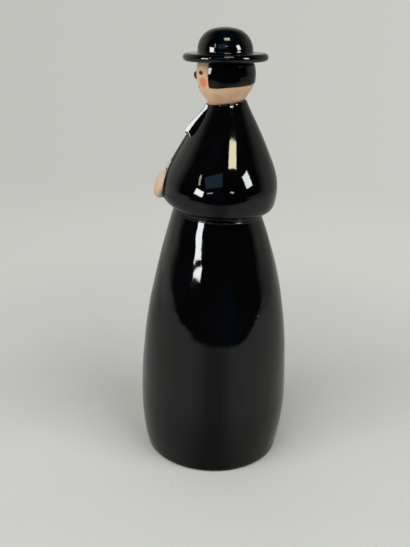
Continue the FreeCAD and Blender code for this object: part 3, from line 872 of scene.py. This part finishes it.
def pale_table():
    material = bpy.data.materials.new("pale_table")
    material.use_nodes = True
    tree = material.node_tree
    tree.nodes.clear()
    place = node(tree, "ShaderNodeTexCoord").outputs["Object"]
    colour = two_tone(tree, noise(tree, place, 9, 4), TABLE)
    colour = mix(tree, spread(tree, noise(tree, place, 330, 2, 0.5), 0.70, 0.76, 0.0, 0.35), colour, CRUMB)
    table = node(tree, "ShaderNodeBsdfDiffuse", {"Color": colour}).outputs[0]
    away = node(tree, "ShaderNodeVectorMath", {0: place}, operation="LENGTH").outputs["Value"]
    tone = side_tone(tree, axes(tree, place)["Y"], 0.45)
    level = spread(tree, away, 0.5, 0.8, 1.065, 1.0)
    far = node(tree, "ShaderNodeEmission", {"Color": tone, "Strength": level}).outputs[0]
    limits = {"Value": away, "From Min": 0.13, "From Max": 0.42}
    share = node(tree, "ShaderNodeMapRange", limits, interpolation_type="SMOOTHSTEP").outputs["Result"]
    path = node(tree, "ShaderNodeLightPath").outputs
    seen = mix_shader(tree, share, table, far)
    seen = mix_shader(tree, path["Is Glossy Ray"], seen, mirrored_table(tree, place, away))
    direct = math_node(tree, "MAXIMUM", path["Is Camera Ray"], path["Is Glossy Ray"])
    node(tree, "ShaderNodeOutputMaterial", {"Surface": mix_shader(tree, direct, table, seen)})
    return material


def build_floor():
    angles = even_angles(96)
    radii = np.array([0.0, 0.15, 0.3, 0.5, 0.8]) / MM
    rows = [np.stack([r * np.sin(angles), r * np.cos(angles), 0 * angles], -1) for r in radii]
    mesh = grid_mesh("floor", rows)
    work = bmesh.new()
    work.from_mesh(mesh)
    for face in work.faces:
        if face.normal.z < 0:
            face.normal_flip()
    work.to_mesh(mesh)
    work.free()
    floor = bpy.data.objects.new("floor", mesh)
    bpy.context.scene.collection.objects.link(floor)
    mesh.materials.append(pale_table())


# Light: soft lamps that aren't mirrored, and bright panes that only the glaze of some pieces mirrors
WHITE_LIGHT, WARM_LIGHT = (0.95, 0.98, 1.0), (1.0, 0.91, 0.64)
FIGURE_MIDDLE = (0, 0, 0.15)


def lamp(name, azimuth, elevation, size, radiance, colour,
         distance=2.0, target=FIGURE_MIDDLE, roll=0, lit=None):
    """A rectangular lamp that faces the target: a pane that the lit pieces mirror, or else a soft light."""
    wide, tall = size
    data = bpy.data.lights.new(name, "AREA")
    data.shape, data.size, data.size_y = "RECTANGLE", wide, tall
    data.energy = radiance * math.pi * wide * tall
    data.color = colour
    made = bpy.data.objects.new(name, data)
    bpy.context.scene.collection.objects.link(made)
    a, e = math.radians(azimuth), math.radians(elevation)
    way = Vector((math.cos(e) * math.cos(a), math.cos(e) * math.sin(a), math.sin(e)))
    made.location = Vector(target) + way * distance
    made.rotation_mode = "QUATERNION"
    made.rotation_quaternion = Quaternion(way, math.radians(roll)) @ (-way).to_track_quat("-Z", "Y")
    made.visible_glossy = bool(lit)
    made.visible_diffuse = not lit
    made.visible_camera = False
    if lit:
        pieces = bpy.data.collections.new(name + "_pieces")
        for piece in lit:
            pieces.objects.link(piece)
        made.light_linking.receiver_collection = pieces


def build_lamps():
    lamp("soft_key", -35, 42, (2.0, 2.0), 2.85, (1.0, 0.99, 0.96), distance=2.2)
    lamp("soft_fill", 50, 42, (1.7, 1.7), 3.3, (0.98, 0.99, 1.0), distance=2.2)
    lamp("soft_top", 170, 65, (2.0, 2.0), 0.5, (0.99, 0.99, 1.0), distance=2.2)
    lamp("soft_window", -72, 9, (1.5, 1.2), 1.4, (1.0, 1.0, 0.99))
    lamp("left_window", -38.7, 3, (0.148, 0.084), 27, WHITE_LIGHT, distance=0.45,
         target=(0.0325, -0.011, 0.177), roll=-18, lit=[CAPE])
    lamp("left_strip", -43, 26, (0.13, 0.62), 9, (1.0, 0.92, 0.84), roll=12, lit=[CAPE, HAT])
    lamp("tall_window", -40, 15.5, (0.5, 0.6), 27, WHITE_LIGHT, roll=5, lit=[CASSOCK])
    lamp("hat_window", -56, 7, (0.7, 0.6), 26, WHITE_LIGHT, lit=[HAT, HEAD])
    lamp("right_window", 58, 19.5, (0.51, 0.76), 23, WHITE_LIGHT, roll=15, lit=[CAPE, HAT])
    lamp("warm_tube", 28, 43.0, (0.56, 0.2), 23, WARM_LIGHT,
         target=(0.0253, 0.0066, 0.198), roll=-11, lit=[CAPE])
    lamp("hat_tube", 4, 27, (0.4, 0.12), 4, (1.0, 0.9, 0.9), lit=[HAT])
    lamp("ceiling_panel", 11, 63, (0.66, 0.5), 14, WARM_LIGHT, target=(0.014, 0.001, 0.258), lit=[HAT])
    lamp("blue_wall", -13, 26, (1.1, 0.8), 0.75, (0.35, 0.68, 1.0), roll=12, lit=[CAPE, HAT])
    lamp("low_dash", -17, 4.5, (0.36, 0.07), 9, (1.0, 0.96, 0.88), roll=8, lit=[CAPE])
    lamp("low_glint", 24, 5.5, (0.26, 0.10), 12, WHITE_LIGHT, roll=-20, lit=[CAPE])


def build_world():
    """A pale backdrop; the glaze mirrors it behind and low at the sides, and a dark room elsewhere."""
    world = bpy.data.worlds.new("studio")
    bpy.context.scene.world = world
    world.use_nodes = True
    tree = world.node_tree
    tree.nodes.clear()
    way = node(tree, "ShaderNodeTexCoord").outputs["Generated"]
    x, y, z = axes(tree, way)

    def background(colour, strength):
        return node(tree, "ShaderNodeBackground", {"Color": colour, "Strength": strength}).outputs[0]

    backdrop = background(side_tone(tree, y, 0.3), 1.0)
    mirrored = background((*PALE, 1), spread(tree, y, -0.5, 0.5, 1.0, 0.6))
    room = background((0.006, 0.008, 0.013, 1), 1.0)
    behind = product(tree, spread(tree, x, -0.22, 0.14, 1.0, 0.0), spread(tree, z, 0.45, 0.85, 1.0, 0.0))
    past = node(tree, "ShaderNodeVectorMath", {0: way, 1: (1.0, TABLE_SLANT, 7.0)}, operation="DOT_PRODUCT")
    table_ends = product(
        tree,
        spread(tree, z, -0.095, -0.07, 1.0, 0.0),
        spread(tree, past.outputs["Value"], -0.43, -0.33, 1.0, 0.0),
        spread(tree, x, 0.45, 0.6, 1.0, 0.0),
    )
    mirror = mix_shader(tree, math_node(tree, "MAXIMUM", behind, table_ends), room, mirrored)
    camera_ray = node(tree, "ShaderNodeLightPath").outputs["Is Camera Ray"]
    node(tree, "ShaderNodeOutputWorld", {"Surface": mix_shader(tree, camera_ray, mirror, backdrop)})


# Camera at the photograph's angle, with its focal length in the photograph's pixels
def build_camera():
    focal, wide, tall, sensor = 720.0, 410, 547, 36.0
    distance, rise = 449.1, math.radians(18.20)
    pan, tilt, roll = math.radians(-0.94), math.radians(-1.80), math.radians(1.94)
    aim = Vector((0, 0, TOP / 2))
    place = aim + Vector((distance * math.cos(rise), 0, distance * math.sin(rise)))
    ahead = (aim - place).normalized()
    right = ahead.cross(Vector((0, 0, 1))).normalized()
    up = right.cross(ahead)
    ahead = (ahead + right * pan + up * tilt).normalized()
    right = (right - ahead * right.dot(ahead)).normalized()
    up = right.cross(ahead)
    right, up = right * math.cos(roll) + up * math.sin(roll), up * math.cos(roll) - right * math.sin(roll)
    data = bpy.data.cameras.new("camera")
    data.sensor_width = sensor
    data.lens = focal / max(wide, tall) * sensor
    data.clip_start, data.clip_end = 0.02, 100.0
    camera = bpy.data.objects.new("camera", data)
    bpy.context.scene.collection.objects.link(camera)
    camera.matrix_world = Matrix((
        (right.x, up.x, -ahead.x, place.x * MM),
        (right.y, up.y, -ahead.y, place.y * MM),
        (right.z, up.z, -ahead.z, place.z * MM),
        (0, 0, 0, 1),
    ))
    bpy.context.scene.camera = camera


build_floor()
build_lamps()
build_world()
build_camera()
bpy.context.scene.view_settings.view_transform = "Standard"
